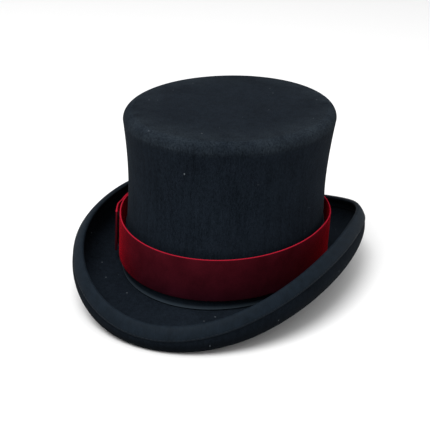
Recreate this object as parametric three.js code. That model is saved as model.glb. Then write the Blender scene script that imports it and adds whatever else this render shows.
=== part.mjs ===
// A wool felt top hat with a curled, ribbon-bound brim and a removable velvet band.
//
// Millimetres. +Z is up, the wearer looks along -Y and +X is the wearer's left.
// Angles go round the hat from the front: 0 is the front, 90 degrees the wearer's left, 180 the back.
// Everything is laid out about the crown's own axis. At the end the whole hat is moved so that the
// origin is the middle of its footprint, on the surface that it stands on.

import * as THREE from 'three';
import { mergeVertices } from 'three/addons/utils/BufferGeometryUtils.js';

// Crown: half widths of its oval outside, across the head and from front to back, at three heights.
const BASE = { z: 8.8, side: 85.0, front: 108.6 };
const WAIST = { z: 81, side: 81.4, front: 101.7 };
const TIP = { z: 150, side: 86.3, front: 109.2 };
const TIP_EDGE_RADIUS = 8;
const FLARE = 1.7; // how late the wall turns away from the waist
const BASE_RISE = 3.8; // the head opening is higher at the sides than at the front and back
const FELT = 2.6;
const GAP = 0.3; // between pieces that touch on the real hat

// Brim: its section is a straight slope from the crown, then a curl that tightens up to the rim.
// width is measured along the felt, slope and end are the section's angle at each end in degrees,
// curlStart is the share of the width where the curl begins and late is how late it tightens.
const BRIM_FRONT = { width: 78.5, slope: -8, end: 134, curlStart: 0.7, late: 0.65 };
const BRIM_SIDE = { width: 60.3, slope: 18, end: 149, curlStart: 0, late: 1.8 };
const BRIM_BACK = { width: 70.2, slope: -10.9, end: 116, curlStart: 0.55, late: 1.1 };
const PRESSED_FLAT = 0.8; // the felt is worn flat by this much where it stands

// Rim: a steel wire against the felt's edge, and the ribbon folded over both.
const WIRE_RADIUS = 0.6;
const BINDING_LEG = 9.5;
const BINDING_THICKNESS = 0.5;

// Ribbon round the crown's base.
const RIBBON_HEIGHT = 38;
const RIBBON_THICKNESS = 0.6;
const RIBBON_LIFT = 2.4; // its lower edge above the brim's middle surface

// Removable velvet band: an open loop that rests round the ribbon. It slopes down towards the front
// and to one side, and settles from there to a level a little lower at the back.
const BAND = { side: 86.7, front: 110.1, top: 61, height: 35.8, thickness: 1.1 };
const BAND_TILT = THREE.MathUtils.degToRad(2.6);
const BAND_LEAN = THREE.MathUtils.degToRad(1.0);
const BAND_BACK = { from: -20, to: 50, drop: 3.6, lean: 0.43 }; // lean as a share of the front's
const BAND_SAG = { middle: 266, spread: 26, depth: 2.4 }; // where its two ends are fastened
const INNER_END = -88; // angles, in degrees
const STEP_START = 263;
const STEP_END = 269;
const LAP_START = 269.3;
const LAP_END = 299;
const PAD = { start: 291.5, end: 297.5, height: 27, thickness: 0.6 };
const LAP_RISE = { from: 284, to: 290 }; // where the lap steps out over the pads

// Inside: sweatband with its reed, bow and label, and the satin lining.
const LINING_THICKNESS = 0.4;
const LINING_LOWER_EDGE = 24;
const SWEATBAND_HEIGHT = 39;
const SWEATBAND_THICKNESS = 1.2;
const REED_RADIUS = 0.6;
const BOW = { width: 26, height: 9, waist: 0.35, thickness: 1.0 };
const LABEL = { angle: 160, width: 22, height: 12, thickness: 0.4 };

const RING_STEPS = 60;
const CURVE_STEPS = 48; // steps in the sum that follows the brim's section

const felt = material(0x161b24, 0.95);
const grosgrain = material(0x262e38, 0.8);
const velvet = material(0x8c0a1c, 0.9);
const leather = material(0x2a211c, 0.55);
const satin = material(0x14161c, 0.35);
const steel = material(0xb8bcc0, 0.35, 1);
const plastic = material(0x1c1c1e, 0.6);

function material(color, roughness, metalness = 0) {
  return () => new THREE.MeshStandardMaterial({ color, roughness, metalness });
}

function smooth(from, to, value) {
  return THREE.MathUtils.smoothstep(value, from, to);
}

// The crown's oval at a height, as half widths outside.
function crownOval(z) {
  const end = z > WAIST.z ? TIP : BASE;
  const reach = z > WAIST.z ? TIP.z - TIP_EDGE_RADIUS - WAIST.z : WAIST.z - BASE.z;
  const share = Math.min(1, Math.abs(z - WAIST.z) / reach) ** FLARE;
  return {
    side: WAIST.side + (end.side - WAIST.side) * share,
    front: WAIST.front + (end.front - WAIST.front) * share,
  };
}

// How much higher the crown's base is at an angle than at the front, fading out at the waist.
function baseRise(angle, z) {
  const below = THREE.MathUtils.clamp((WAIST.z - z) / (WAIST.z - BASE.z), 0, 1);
  return BASE_RISE * Math.sin(angle) ** 2 * below;
}

// A point set in from the crown's outside by a distance. Near the wall the distance is the same all
// round; further in, the oval shrinks to a point on the axis.
function inCrown(angle, inset, level) {
  const z = level + baseRise(angle, level);
  const oval = crownOval(z);
  const wall = Math.min(inset, TIP_EDGE_RADIUS);
  const share = Math.min(1, (TIP.side - inset) / (TIP.side - TIP_EDGE_RADIUS));
  return [
    (oval.side - wall) * share * Math.sin(angle),
    -(oval.front - wall) * share * Math.cos(angle),
    z,
  ];
}

// The brim's section at an angle, mixed from the front or back one and the side one.
function brimSection(angle) {
  const end = Math.cos(angle) > 0 ? BRIM_FRONT : BRIM_BACK;
  const sideways = Math.sin(angle) ** 2;
  const mix = (key, power) => end[key] + (BRIM_SIDE[key] - end[key]) * sideways ** power;
  return {
    width: mix('width', 1.1),
    slope: THREE.MathUtils.degToRad(mix('slope', 1.1)),
    end: THREE.MathUtils.degToRad(mix('end', 1)),
    curlStart: mix('curlStart', 0.95),
    late: mix('late', 1.1),
  };
}

// A point on the brim: along the felt from the crown's base, then across it, the under side positive.
function onBrim(angle, section, along, across) {
  const turn = (distance) => {
    const share = distance / section.width;
    const curl = (share - section.curlStart) / (1 - section.curlStart);
    const turned = THREE.MathUtils.clamp(curl, 0, 1) ** section.late;
    return section.slope + (section.end - section.slope) * turned;
  };
  const step = along / CURVE_STEPS;
  let out = 0;
  let up = 0;
  for (let i = 0; i < CURVE_STEPS; i++) {
    out += step * Math.cos(turn((i + 0.5) * step));
    up += step * Math.sin(turn((i + 0.5) * step));
  }
  const last = turn(along);
  out += across * Math.sin(last);
  up -= across * Math.cos(last);
  const outward = new THREE.Vector2(Math.sin(angle) / BASE.side, -Math.cos(angle) / BASE.front);
  outward.normalize();
  return [
    BASE.side * Math.sin(angle) + outward.x * out,
    -BASE.front * Math.cos(angle) + outward.y * out,
    BASE.z + baseRise(angle, BASE.z) + up,
  ];
}

function onVelvetBand(angle, level, depth) {
  const x = (BAND.side + depth) * Math.sin(angle);
  const y = -(BAND.front + depth) * Math.cos(angle);
  const back = smooth(BAND_BACK.from, BAND_BACK.to, y);
  const tilt = THREE.MathUtils.lerp(Math.tan(BAND_TILT) * y, -BAND_BACK.drop, back);
  const lean = Math.tan(BAND_LEAN) * x * THREE.MathUtils.lerp(1, BAND_BACK.lean, back);
  const degrees = THREE.MathUtils.euclideanModulo(THREE.MathUtils.radToDeg(angle), 360);
  const away = Math.min(1, Math.abs(degrees - BAND_SAG.middle) / BAND_SAG.spread);
  const sag = BAND_SAG.depth * (0.5 + 0.5 * Math.cos(Math.PI * away));
  return [x, y, level + tilt - lean - sag];
}

// Moves every corner of a closed geometry to place(x, y, z), and leaves one closed body that faces out.
function bend(geometry, place) {
  geometry.deleteAttribute('normal');
  geometry.deleteAttribute('uv');
  const merged = mergeVertices(geometry, 1e-4);
  const corners = merged.attributes.position;
  for (let i = 0; i < corners.count; i++) {
    corners.setXYZ(i, ...place(corners.getX(i), corners.getY(i), corners.getZ(i)));
  }
  const kept = [];
  let volume = 0;
  const [a, b, c] = [new THREE.Vector3(), new THREE.Vector3(), new THREE.Vector3()];
  for (let i = 0; i < merged.index.count; i += 3) {
    const face = [0, 1, 2].map((k) => merged.index.getX(i + k));
    if (new Set(face).size < 3) continue;
    kept.push(...face);
    [a, b, c].forEach((corner, k) => corner.fromBufferAttribute(corners, face[k]));
    volume += a.dot(b.cross(c));
  }
  if (volume < 0) kept.reverse();
  merged.setIndex(kept);
  merged.computeVertexNormals();
  return merged;
}

// Turns an outline of [inset, level] points round the crown's axis.
function roundCrown(outline) {
  const onAxis = outline[0][0] === TIP.side;
  const points = (onAxis ? outline : [...outline, outline[0]]).map(
    ([inset, level]) => new THREE.Vector2(TIP.side - inset, level),
  );
  const lathe = new THREE.LatheGeometry(points, RING_STEPS);
  return bend(lathe, (x, y, z) => inCrown(Math.atan2(x, z), TIP.side - Math.hypot(x, z), y));
}

// Turns an outline of [along, across] points round the brim. place gets angle, along and across.
function roundBrim(outline, place) {
  const room = 200; // keeps the outline off the lathe's axis
  const points = [...outline, outline[0]].map(
    ([along, across]) => new THREE.Vector2(room + along, across),
  );
  const lathe = new THREE.LatheGeometry(points, RING_STEPS);
  return bend(lathe, (x, y, z) => place(Math.atan2(x, z), Math.hypot(x, z) - room, y));
}

// A thin block laid along a curve. place gets shares of its length, height and thickness.
function strip(lengthSteps, heightSteps, place) {
  const block = new THREE.BoxGeometry(1, 1, 1, lengthSteps, heightSteps, 1);
  return bend(block, (x, y, z) => place(x + 0.5, y + 0.5, z + 0.5));
}

// Points of a quarter turn about a centre, from one angle to another in degrees.
function arc(centre, radius, from, to, steps) {
  return Array.from({ length: steps + 1 }, (_, i) => {
    const angle = THREE.MathUtils.degToRad(from + ((to - from) * i) / steps);
    return [centre[0] - radius * Math.cos(angle), centre[1] + radius * Math.sin(angle)];
  });
}

// The same inset at evenly spaced levels.
function wall(inset, from, to, steps) {
  return Array.from({ length: steps + 1 }, (_, i) => [inset, from + ((to - from) * i) / steps]);
}

function crown() {
  const foot = BASE.z + FELT / 2 + GAP + 0.4;
  const shoulder = TIP.z - TIP_EDGE_RADIUS;
  const centre = [TIP_EDGE_RADIUS, shoulder];
  return roundCrown([
    [TIP.side, TIP.z],
    ...arc(centre, TIP_EDGE_RADIUS, 90, 0, 4),
    ...wall(0, shoulder, foot, 8).slice(1),
    ...wall(FELT, foot, shoulder, 8),
    ...arc(centre, TIP_EDGE_RADIUS - FELT, 0, 90, 3).slice(1),
    [TIP.side, TIP.z - FELT],
  ]);
}

function brim() {
  const shares = [-FELT / BRIM_SIDE.width, 0, 0.12, 0.24, 0.36, 0.48];
  for (let share = 0.55; share < 1.001; share += 0.0375) shares.push(share);
  const over = shares.map((share) => [share * 100, -FELT / 2]);
  const under = shares.map((share) => [share * 100, FELT / 2]).reverse();
  const geometry = roundBrim([...over, ...under], (angle, percent, across) => {
    const section = brimSection(angle);
    return onBrim(angle, section, (percent / 100) * section.width, across);
  });
  return pressFlat(geometry);
}

function pressFlat(geometry) {
  const corners = geometry.attributes.position;
  geometry.computeBoundingBox();
  const floor = geometry.boundingBox.min.z + PRESSED_FLAT;
  for (let i = 0; i < corners.count; i++) corners.setZ(i, Math.max(floor, corners.getZ(i)));
  geometry.computeBoundingBox();
  return geometry;
}

// Outlines at the rim are measured from the felt's edge.
function roundRim(outline) {
  return roundBrim(outline, (angle, beyond, across) => {
    const section = brimSection(angle);
    return onBrim(angle, section, section.width + beyond, across);
  });
}

function brimWire() {
  const centre = GAP + WIRE_RADIUS;
  const sides = 6;
  return roundRim(Array.from({ length: sides }, (_, i) => {
    const angle = (i / sides) * 2 * Math.PI;
    return [centre + WIRE_RADIUS * Math.cos(angle), WIRE_RADIUS * Math.sin(angle)];
  }));
}

function brimBinding() {
  const inner = FELT / 2 + GAP;
  const outer = inner + BINDING_THICKNESS;
  const cavityEnd = 2 * GAP + 2 * WIRE_RADIUS;
  const nose = cavityEnd + BINDING_THICKNESS;
  const leg = (from, to, across) => wall(across, from, to, 3).map(([a, b]) => [b, a]);
  return roundRim([
    ...leg(-BINDING_LEG, 0, -outer),
    [nose, -outer * 0.45],
    [nose, outer * 0.45],
    ...leg(0, -BINDING_LEG, outer),
    ...leg(-BINDING_LEG, 0, inner),
    [cavityEnd, 0.8],
    [cavityEnd, -0.8],
    ...leg(0, -BINDING_LEG, -inner),
  ]);
}

function hatRibbon() {
  const lower = BASE.z + RIBBON_LIFT;
  const upper = lower + RIBBON_HEIGHT;
  return roundCrown([
    ...wall(-GAP - RIBBON_THICKNESS, upper, lower, 3),
    ...wall(-GAP, lower, upper, 3),
  ]);
}

function velvetStrip(fromDegrees, toDegrees, steps, depthAt) {
  return strip(steps, 2, (along, up, through) => {
    const degrees = fromDegrees + (toDegrees - fromDegrees) * along;
    const angle = THREE.MathUtils.degToRad(degrees);
    const level = BAND.top + (up - 1) * BAND.height;
    return onVelvetBand(angle, level, depthAt(degrees) + through * BAND.thickness);
  });
}

// The lap lies against the band's other end, then steps out over the two fastening pads near its own end.
const LAP_CLOSE = BAND.thickness + GAP + 0.1;
const LOOP_DEPTH = BAND.thickness + GAP;
const HOOK_DEPTH = LOOP_DEPTH + PAD.thickness + GAP;
const LAP_DEPTH = HOOK_DEPTH + PAD.thickness + GAP;

function redBand() {
  const steps = Math.round((STEP_END - INNER_END) / (360 / RING_STEPS));
  return velvetStrip(INNER_END, STEP_END, steps, (degrees) => {
    return LAP_CLOSE * smooth(STEP_START, STEP_END, degrees);
  });
}

function bandLap() {
  return velvetStrip(LAP_START, LAP_END, 14, (degrees) => {
    return THREE.MathUtils.lerp(LAP_CLOSE, LAP_DEPTH, smooth(LAP_RISE.from, LAP_RISE.to, degrees));
  });
}

function fasteningPad(depth) {
  const middle = BAND.top - BAND.height / 2;
  return strip(4, 1, (along, up, through) => {
    const angle = THREE.MathUtils.degToRad(PAD.start + (PAD.end - PAD.start) * along);
    return onVelvetBand(angle, middle + (up - 0.5) * PAD.height, depth + through * PAD.thickness);
  });
}

// Insets of the layers inside the crown, from the felt inwards.
const LINING_OUTSIDE = FELT + GAP;
const LINING_INSIDE = LINING_OUTSIDE + LINING_THICKNESS;
const SWEATBAND_OUTSIDE = LINING_INSIDE + GAP;
const SWEATBAND_INSIDE = SWEATBAND_OUTSIDE + SWEATBAND_THICKNESS;
const SWEATBAND_LOWER_EDGE = BASE.z - 1.1;

function sweatband() {
  const upper = SWEATBAND_LOWER_EDGE + SWEATBAND_HEIGHT;
  return roundCrown([
    ...wall(SWEATBAND_OUTSIDE, upper, SWEATBAND_LOWER_EDGE, 3),
    ...wall(SWEATBAND_INSIDE, SWEATBAND_LOWER_EDGE, upper, 3),
  ]);
}

function sweatbandReed() {
  const inset = (SWEATBAND_OUTSIDE + SWEATBAND_INSIDE) / 2;
  const level = SWEATBAND_LOWER_EDGE - GAP - REED_RADIUS;
  return roundCrown(Array.from({ length: 6 }, (_, i) => {
    const angle = (i / 6) * 2 * Math.PI;
    return [inset + REED_RADIUS * Math.cos(angle), level + REED_RADIUS * Math.sin(angle)];
  }));
}

// A strip on the sweatband's inner face. shapeAt gives its share of the full height along its length.
function onSweatband(angleDegrees, level, size, steps, shapeAt) {
  const perRadian = BASE.front - SWEATBAND_INSIDE;
  const nearAngle = THREE.MathUtils.degToRad(angleDegrees);
  const across = Math.hypot((BASE.side - SWEATBAND_INSIDE) * Math.cos(nearAngle),
    perRadian * Math.sin(nearAngle));
  return strip(steps, 1, (along, up, through) => {
    const angle = nearAngle + ((along - 0.5) * size.width) / across;
    const height = (up - 0.5) * size.height * shapeAt(along);
    const inset = SWEATBAND_INSIDE + GAP + (1 - through) * size.thickness;
    return inCrown(angle, inset, level + height);
  });
}

function sweatbandBow() {
  const level = SWEATBAND_LOWER_EDGE + SWEATBAND_HEIGHT - BOW.height;
  return onSweatband(180, level, BOW, 6, (along) => {
    return BOW.waist + (1 - BOW.waist) * Math.abs(2 * along - 1);
  });
}

function sizeLabel() {
  const level = SWEATBAND_LOWER_EDGE + SWEATBAND_HEIGHT / 2;
  return onSweatband(LABEL.angle, level, LABEL, 2, () => 1);
}

function liningSide() {
  const shoulder = TIP.z - TIP_EDGE_RADIUS;
  const centre = [TIP_EDGE_RADIUS, shoulder];
  return roundCrown([
    ...wall(LINING_OUTSIDE, LINING_LOWER_EDGE, shoulder, 5),
    ...arc(centre, TIP_EDGE_RADIUS - LINING_OUTSIDE, 0, 84, 2).slice(1),
    ...arc(centre, TIP_EDGE_RADIUS - LINING_INSIDE, 84, 0, 2),
    ...wall(LINING_INSIDE, shoulder, LINING_LOWER_EDGE, 5).slice(1),
  ]);
}

function liningTip() {
  const edge = TIP_EDGE_RADIUS + GAP;
  return roundCrown([
    [TIP.side, TIP.z - LINING_OUTSIDE],
    [edge, TIP.z - LINING_OUTSIDE],
    [edge, TIP.z - LINING_INSIDE],
    [TIP.side, TIP.z - LINING_INSIDE],
  ]);
}

const pieces = {
  crown: [crown(), felt],
  brim: [brim(), felt],
  brim_binding: [brimBinding(), grosgrain],
  brim_wire: [brimWire(), steel],
  hat_ribbon: [hatRibbon(), grosgrain],
  sweatband: [sweatband(), leather],
  sweatband_reed: [sweatbandReed(), plastic],
  sweatband_bow: [sweatbandBow(), satin],
  size_label: [sizeLabel(), satin],
  lining_side: [liningSide(), satin],
  lining_tip: [liningTip(), satin],
  red_band: [redBand(), velvet],
  band_lap: [bandLap(), velvet],
  loop_pad: [fasteningPad(LOOP_DEPTH), plastic],
  hook_pad: [fasteningPad(HOOK_DEPTH), plastic],
};

const hat = new THREE.Group();
for (const [name, [geometry, finish]] of Object.entries(pieces)) {
  const mesh = new THREE.Mesh(geometry, finish());
  mesh.name = name;
  hat.add(mesh);
}

const box = new THREE.Box3().setFromObject(hat);
const middle = box.getCenter(new THREE.Vector3());
hat.position.set(-middle.x, -middle.y, -box.min.z);

const model = new THREE.Group();
model.add(hat);
export default model;
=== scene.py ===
"""The looks of a wool felt top hat with a ribbon-bound curled brim and a removable velvet band."""
import math

import bmesh
import bpy
import numpy as np
from mathutils import Matrix, Vector


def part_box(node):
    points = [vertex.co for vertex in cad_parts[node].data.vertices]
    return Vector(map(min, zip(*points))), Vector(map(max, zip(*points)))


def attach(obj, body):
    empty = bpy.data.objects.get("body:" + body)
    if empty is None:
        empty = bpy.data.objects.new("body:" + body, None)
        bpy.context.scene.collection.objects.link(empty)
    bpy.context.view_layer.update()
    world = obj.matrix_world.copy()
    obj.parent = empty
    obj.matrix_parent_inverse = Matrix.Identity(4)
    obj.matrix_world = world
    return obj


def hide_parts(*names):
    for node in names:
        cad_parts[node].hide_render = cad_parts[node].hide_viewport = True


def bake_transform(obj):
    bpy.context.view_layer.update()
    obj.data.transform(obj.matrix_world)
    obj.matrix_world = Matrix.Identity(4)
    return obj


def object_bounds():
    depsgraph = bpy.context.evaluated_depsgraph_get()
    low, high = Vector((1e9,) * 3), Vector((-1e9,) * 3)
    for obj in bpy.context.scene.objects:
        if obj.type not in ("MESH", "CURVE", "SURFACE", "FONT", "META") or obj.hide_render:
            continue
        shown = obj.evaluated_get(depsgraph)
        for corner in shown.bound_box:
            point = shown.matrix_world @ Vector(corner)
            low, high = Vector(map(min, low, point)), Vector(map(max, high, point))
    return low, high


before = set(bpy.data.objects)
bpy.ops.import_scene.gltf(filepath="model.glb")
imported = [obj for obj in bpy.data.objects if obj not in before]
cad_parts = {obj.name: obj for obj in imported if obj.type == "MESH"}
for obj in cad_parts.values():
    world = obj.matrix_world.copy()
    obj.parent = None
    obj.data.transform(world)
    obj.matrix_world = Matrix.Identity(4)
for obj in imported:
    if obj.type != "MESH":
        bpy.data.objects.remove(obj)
cad_low, cad_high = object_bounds()

# -------- sizes, in metres
MM = 0.001

# The crown's half widths outside, across the head and front to back, above the hat's own zero level.
BASE = (8.8 * MM, 85.0 * MM, 108.6 * MM)
WAIST = (81 * MM, 81.4 * MM, 101.7 * MM)
TIP = (150 * MM, 86.3 * MM, 109.2 * MM)
TIP_EDGE = 8 * MM
FLARE = 1.7
BASE_RISE = 3.8 * MM
FELT = 2.6 * MM
GAP = 0.3 * MM

# The brim's section: felt width, slope and end angle, where the curl starts and how late it tightens.
BRIM_FRONT = dict(width=78.5 * MM, slope=-8, end=134, start=0.7, late=0.65)
BRIM_SIDE = dict(width=60.3 * MM, slope=18, end=149, start=0, late=1.8)
BRIM_BACK = dict(width=70.2 * MM, slope=-10.9, end=116, start=0.55, late=1.1)
BRIM_POWERS = dict(width=1.1, slope=1.1, end=1, start=0.95, late=1.1)

WIRE_RADIUS = 0.6 * MM
BINDING_LEG = 9.5 * MM
BINDING_THICKNESS = 0.5 * MM
RIBBON_LIFT = 2.4 * MM
RIBBON_HEIGHT = 38 * MM
RIBBON_THICKNESS = 0.6 * MM

BAND = (86.7 * MM, 110.1 * MM)
BAND_TOP = 61 * MM
BAND_HEIGHT = 35.8 * MM
BAND_MIDDLE = BAND_TOP - BAND_HEIGHT / 2
BAND_THICKNESS = 1.3 * MM
BAND_TILT = math.radians(2.6)
BAND_LEAN = math.radians(1.0)
BAND_BACK = dict(start=-20 * MM, end=50 * MM, drop=3.6 * MM, lean=0.43)
BAND_SAG = dict(middle=266, spread=26, depth=2.4 * MM)
BAND_SLACK = 0.35 * MM
LAP_CLOSE = 1.5 * MM
LAP_DEPTH = 3.2 * MM

LINING_OUTSIDE = 2.9 * MM
LINING_LOWER_EDGE = 24 * MM
SWEATBAND_INSIDE = 4.7 * MM
SWEATBAND_TOP = 46.7 * MM
REED_INSET, REED_LEVEL, REED_RADIUS = 4.2 * MM, 6.8 * MM, 0.6 * MM

# The velvet band's angles, in degrees: its inner end, where the lap begins, has bent fully and steps
# out from the band below, and the lap's end.
INNER_END, LAP_START, LAP_BENT, LAP_LEAVES, LAP_END = -88, 263, 278, 284, 299
LAP_TURN, PAD_TURN = 7, 6
PAD_START, PAD_END, PAD_HEIGHT = 291.5, 297.5, 27 * MM
LOOP_DEPTH, HOOK_DEPTH, PAD_THICKNESS = 1.4 * MM, 2.3 * MM, 0.6 * MM

# Where the hat's own axis and zero level are in the shared frame.
crown_low, crown_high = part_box("crown")
AXIS = Vector((0, (crown_low.y + crown_high.y) / 2, crown_high.z - TIP[0]))


# -------- the hat's surfaces
def smooth_step(t):
    t = np.clip(t, 0, 1)
    return t * t * (3 - 2 * t)


def crown_oval(z):
    """Half widths of the crown's outside at height z."""
    above = z > WAIST[0]
    reach = np.where(above, TIP[0] - TIP_EDGE - WAIST[0], WAIST[0] - BASE[0])
    share = np.minimum(1, np.abs(z - WAIST[0]) / reach) ** FLARE
    side = WAIST[1] + (np.where(above, TIP[1], BASE[1]) - WAIST[1]) * share
    front = WAIST[2] + (np.where(above, TIP[2], BASE[2]) - WAIST[2]) * share
    return side, front


def base_rise(angle, z):
    """The crown's base rises at the sides, and this fades out by the waist."""
    below = np.clip((WAIST[0] - z) / (WAIST[0] - BASE[0]), 0, 1)
    return BASE_RISE * np.sin(angle) ** 2 * below


def in_crown(angle, inset, level):
    """Points set in from the crown's outside. Near the wall the distance is the same all round."""
    z = level + base_rise(angle, level)
    side, front = crown_oval(z)
    near = np.minimum(inset, TIP_EDGE)
    share = np.minimum(1, (TIP[1] - inset) / (TIP[1] - TIP_EDGE))
    x = (side - near) * share * np.sin(angle)
    y = -(front - near) * share * np.cos(angle)
    return np.stack([x, y, z + 0 * x], -1) + np.array(AXIS)


def on_brim(angle, beyond, across, from_rim=False):
    """Points on the brim. angle is a column; beyond is a share of the felt's width, or a distance
    from the felt's edge; across is the distance from the felt's middle, the under side positive."""
    ends = np.cos(angle) > 0
    sideways = np.sin(angle) ** 2
    mixed = {}
    for key, power in BRIM_POWERS.items():
        end = np.where(ends, BRIM_FRONT[key], BRIM_BACK[key])
        mixed[key] = end + (BRIM_SIDE[key] - end) * sideways**power
    width, start, late = mixed["width"], mixed["start"], mixed["late"]
    slope, last = np.radians(mixed["slope"]), np.radians(mixed["end"])
    along = width + beyond if from_rim else width * beyond

    def turn(distance):
        curl = np.clip((distance / width - start) / (1 - start), 0, 1)
        return slope + (last - slope) * curl**late

    steps, spare = 480, 5 * MM
    first, step = -spare, (width + 2 * spare) / steps
    line = first + step * np.arange(steps + 1)
    angles = turn(line + step / 2)[:, :-1]
    run = np.concatenate([0 * width, np.cumsum(np.cos(angles) * step, 1)], 1)
    climb = np.concatenate([0 * width, np.cumsum(np.sin(angles) * step, 1)], 1)

    def at(table, distance):
        place = (distance - first) / step
        index = np.clip(place.astype(int), 0, steps - 1)
        low = np.take_along_axis(table, index, 1)
        high = np.take_along_axis(table, index + 1, 1)
        return low + (high - low) * (place - index)

    along = np.broadcast_to(along, np.broadcast_shapes(along.shape, np.shape(across), angle.shape))
    zero = np.zeros_like(width)
    turned = turn(along)
    out = at(run, along) - at(run, zero) + across * np.sin(turned)
    up = at(climb, along) - at(climb, zero) - across * np.cos(turned)
    outward = np.stack([np.sin(angle) / BASE[1], -np.cos(angle) / BASE[2]], -1)
    outward /= np.linalg.norm(outward, axis=-1, keepdims=True)
    x = BASE[1] * np.sin(angle) + outward[..., 0] * out
    y = -BASE[2] * np.cos(angle) + outward[..., 1] * out
    z = BASE[0] + base_rise(angle, BASE[0]) + up
    points = np.stack([x, y, z], -1) + np.array(AXIS)
    points[..., 2] = np.maximum(points[..., 2], cad_low.z)
    return points


def on_band(angle, level, depth):
    """Points on the velvet band: tilted, leaning, dropped at the back and sagging at the lap."""
    x = (BAND[0] + depth) * np.sin(angle)
    y = -(BAND[1] + depth) * np.cos(angle)
    back = smooth_step((y - BAND_BACK["start"]) / (BAND_BACK["end"] - BAND_BACK["start"]))
    tilt = math.tan(BAND_TILT) * y * (1 - back) - BAND_BACK["drop"] * back
    lean = math.tan(BAND_LEAN) * x * (1 + (BAND_BACK["lean"] - 1) * back)
    away = np.minimum(1, np.abs(np.degrees(angle) % 360 - BAND_SAG["middle"]) / BAND_SAG["spread"])
    sag = BAND_SAG["depth"] * (0.5 + 0.5 * np.cos(np.pi * away))
    z = level + tilt - lean - sag
    return np.stack([x, y, z], -1) + np.array(AXIS)


# -------- mesh helpers
def add_mesh(name, vertices, faces, uv=None):
    mesh = bpy.data.meshes.new(name)
    mesh.from_pydata(np.asarray(vertices, float).tolist(), [], [list(map(int, f)) for f in faces])
    if uv is not None:
        layer = mesh.uv_layers.new(name="UVMap")
        layer.data.foreach_set("uv", np.asarray(uv, np.float32).ravel())
    mesh.polygons.foreach_set("use_smooth", [True] * len(mesh.polygons))
    mesh.update()
    obj = bpy.data.objects.new(name, mesh)
    bpy.context.scene.collection.objects.link(obj)
    return obj


def grid(name, points, turns=False, loops=True, poles=False, size=(1, 1)):
    """A closed skin over points[row, column]. turns joins the last row to the first, loops the last
    column to the first, and poles draws the first and last columns into single points."""
    rows, columns = points.shape[:2]
    index = np.arange(rows * columns).reshape(rows, columns)
    if poles:
        index[:, 0], index[:, -1] = index[0, 0], index[0, -1]
    down = np.arange(rows if turns else rows - 1)
    over = np.arange(columns if loops else columns - 1)
    r, c = (a.ravel() for a in np.meshgrid(down, over, indexing="ij"))
    r2, c2 = (r + 1) % rows, (c + 1) % columns
    quads = np.stack([index[r, c], index[r2, c], index[r2, c2], index[r, c2]], 1)
    u, v = size[0] / len(down), size[1] / len(over)
    corners = [(r, c), (r + 1, c), (r + 1, c + 1), (r, c + 1)]
    uvs = np.stack([np.stack([a * u, b * v], 1) for a, b in corners], 1)
    flat = points.reshape(-1, 3)
    p, q, s, t = (flat[quads[:, k]] for k in range(4))
    inside_out = (p * (np.cross(q, s) + np.cross(s, t))).sum() < 0
    if inside_out:
        quads, uvs = quads[:, ::-1], uvs[:, ::-1]
    faces, face_uvs = [], []
    for quad, uv in zip(quads.tolist(), uvs.tolist()):
        kept = [k for k in range(4) if quad[k] != quad[k - 1]]
        if len(kept) > 2:
            faces.append([quad[k] for k in kept])
            face_uvs += [uv[k] for k in kept]
    skin = len(faces)
    if not turns and loops:
        for row, flip in ((0, not inside_out), (rows - 1, inside_out)):
            cap = index[row].tolist()
            faces.append(cap if flip else cap[::-1])
            face_uvs += [(0.0, 0.0)] * len(cap)
    used = sorted({i for f in faces for i in f})
    renumber = np.zeros(len(flat), int)
    renumber[used] = np.arange(len(used))
    obj = add_mesh(name, flat[used], [renumber[f] for f in faces], face_uvs)
    for cap in obj.data.polygons[skin:]:
        cap.use_smooth = False
    return obj


def turn_angles(count):
    return np.linspace(0, 2 * math.pi, count, endpoint=False)[:, None]


def outline_array(points):
    """Splits an outline of (a, b) points into two rows."""
    array = np.array(points, float)
    return array[None, :, 0], array[None, :, 1]


def rounded_slab(low, high, near, far, radius, long_steps, turn_steps=4):
    """A closed outline of a thin slab with rounded long edges: (height, depth) points."""
    points = []
    corners = [(high - radius, far - radius, 90), (high - radius, near + radius, 0)]
    corners += [(low + radius, near + radius, -90), (low + radius, far - radius, -180)]
    for i, (h, d, start) in enumerate(corners):
        for k in range(turn_steps + 1):
            a = math.radians(start - 90 * k / turn_steps)
            points.append((h + radius * math.cos(a), d + radius * math.sin(a)))
        nxt = corners[(i + 1) % 4]
        if i % 2 == 1:
            for k in range(1, long_steps):
                t = k / long_steps
                points.append((h + (nxt[0] - h) * t, points[-1][1]))
    return points


def paint(obj, name, values, shape):
    """Stores a number for each of a grid's points, for the material to read."""
    values = np.broadcast_to(values, shape).astype(np.float32)
    obj.data.attributes.new(name, "FLOAT", "POINT").data.foreach_set("value", values.ravel())


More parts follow.
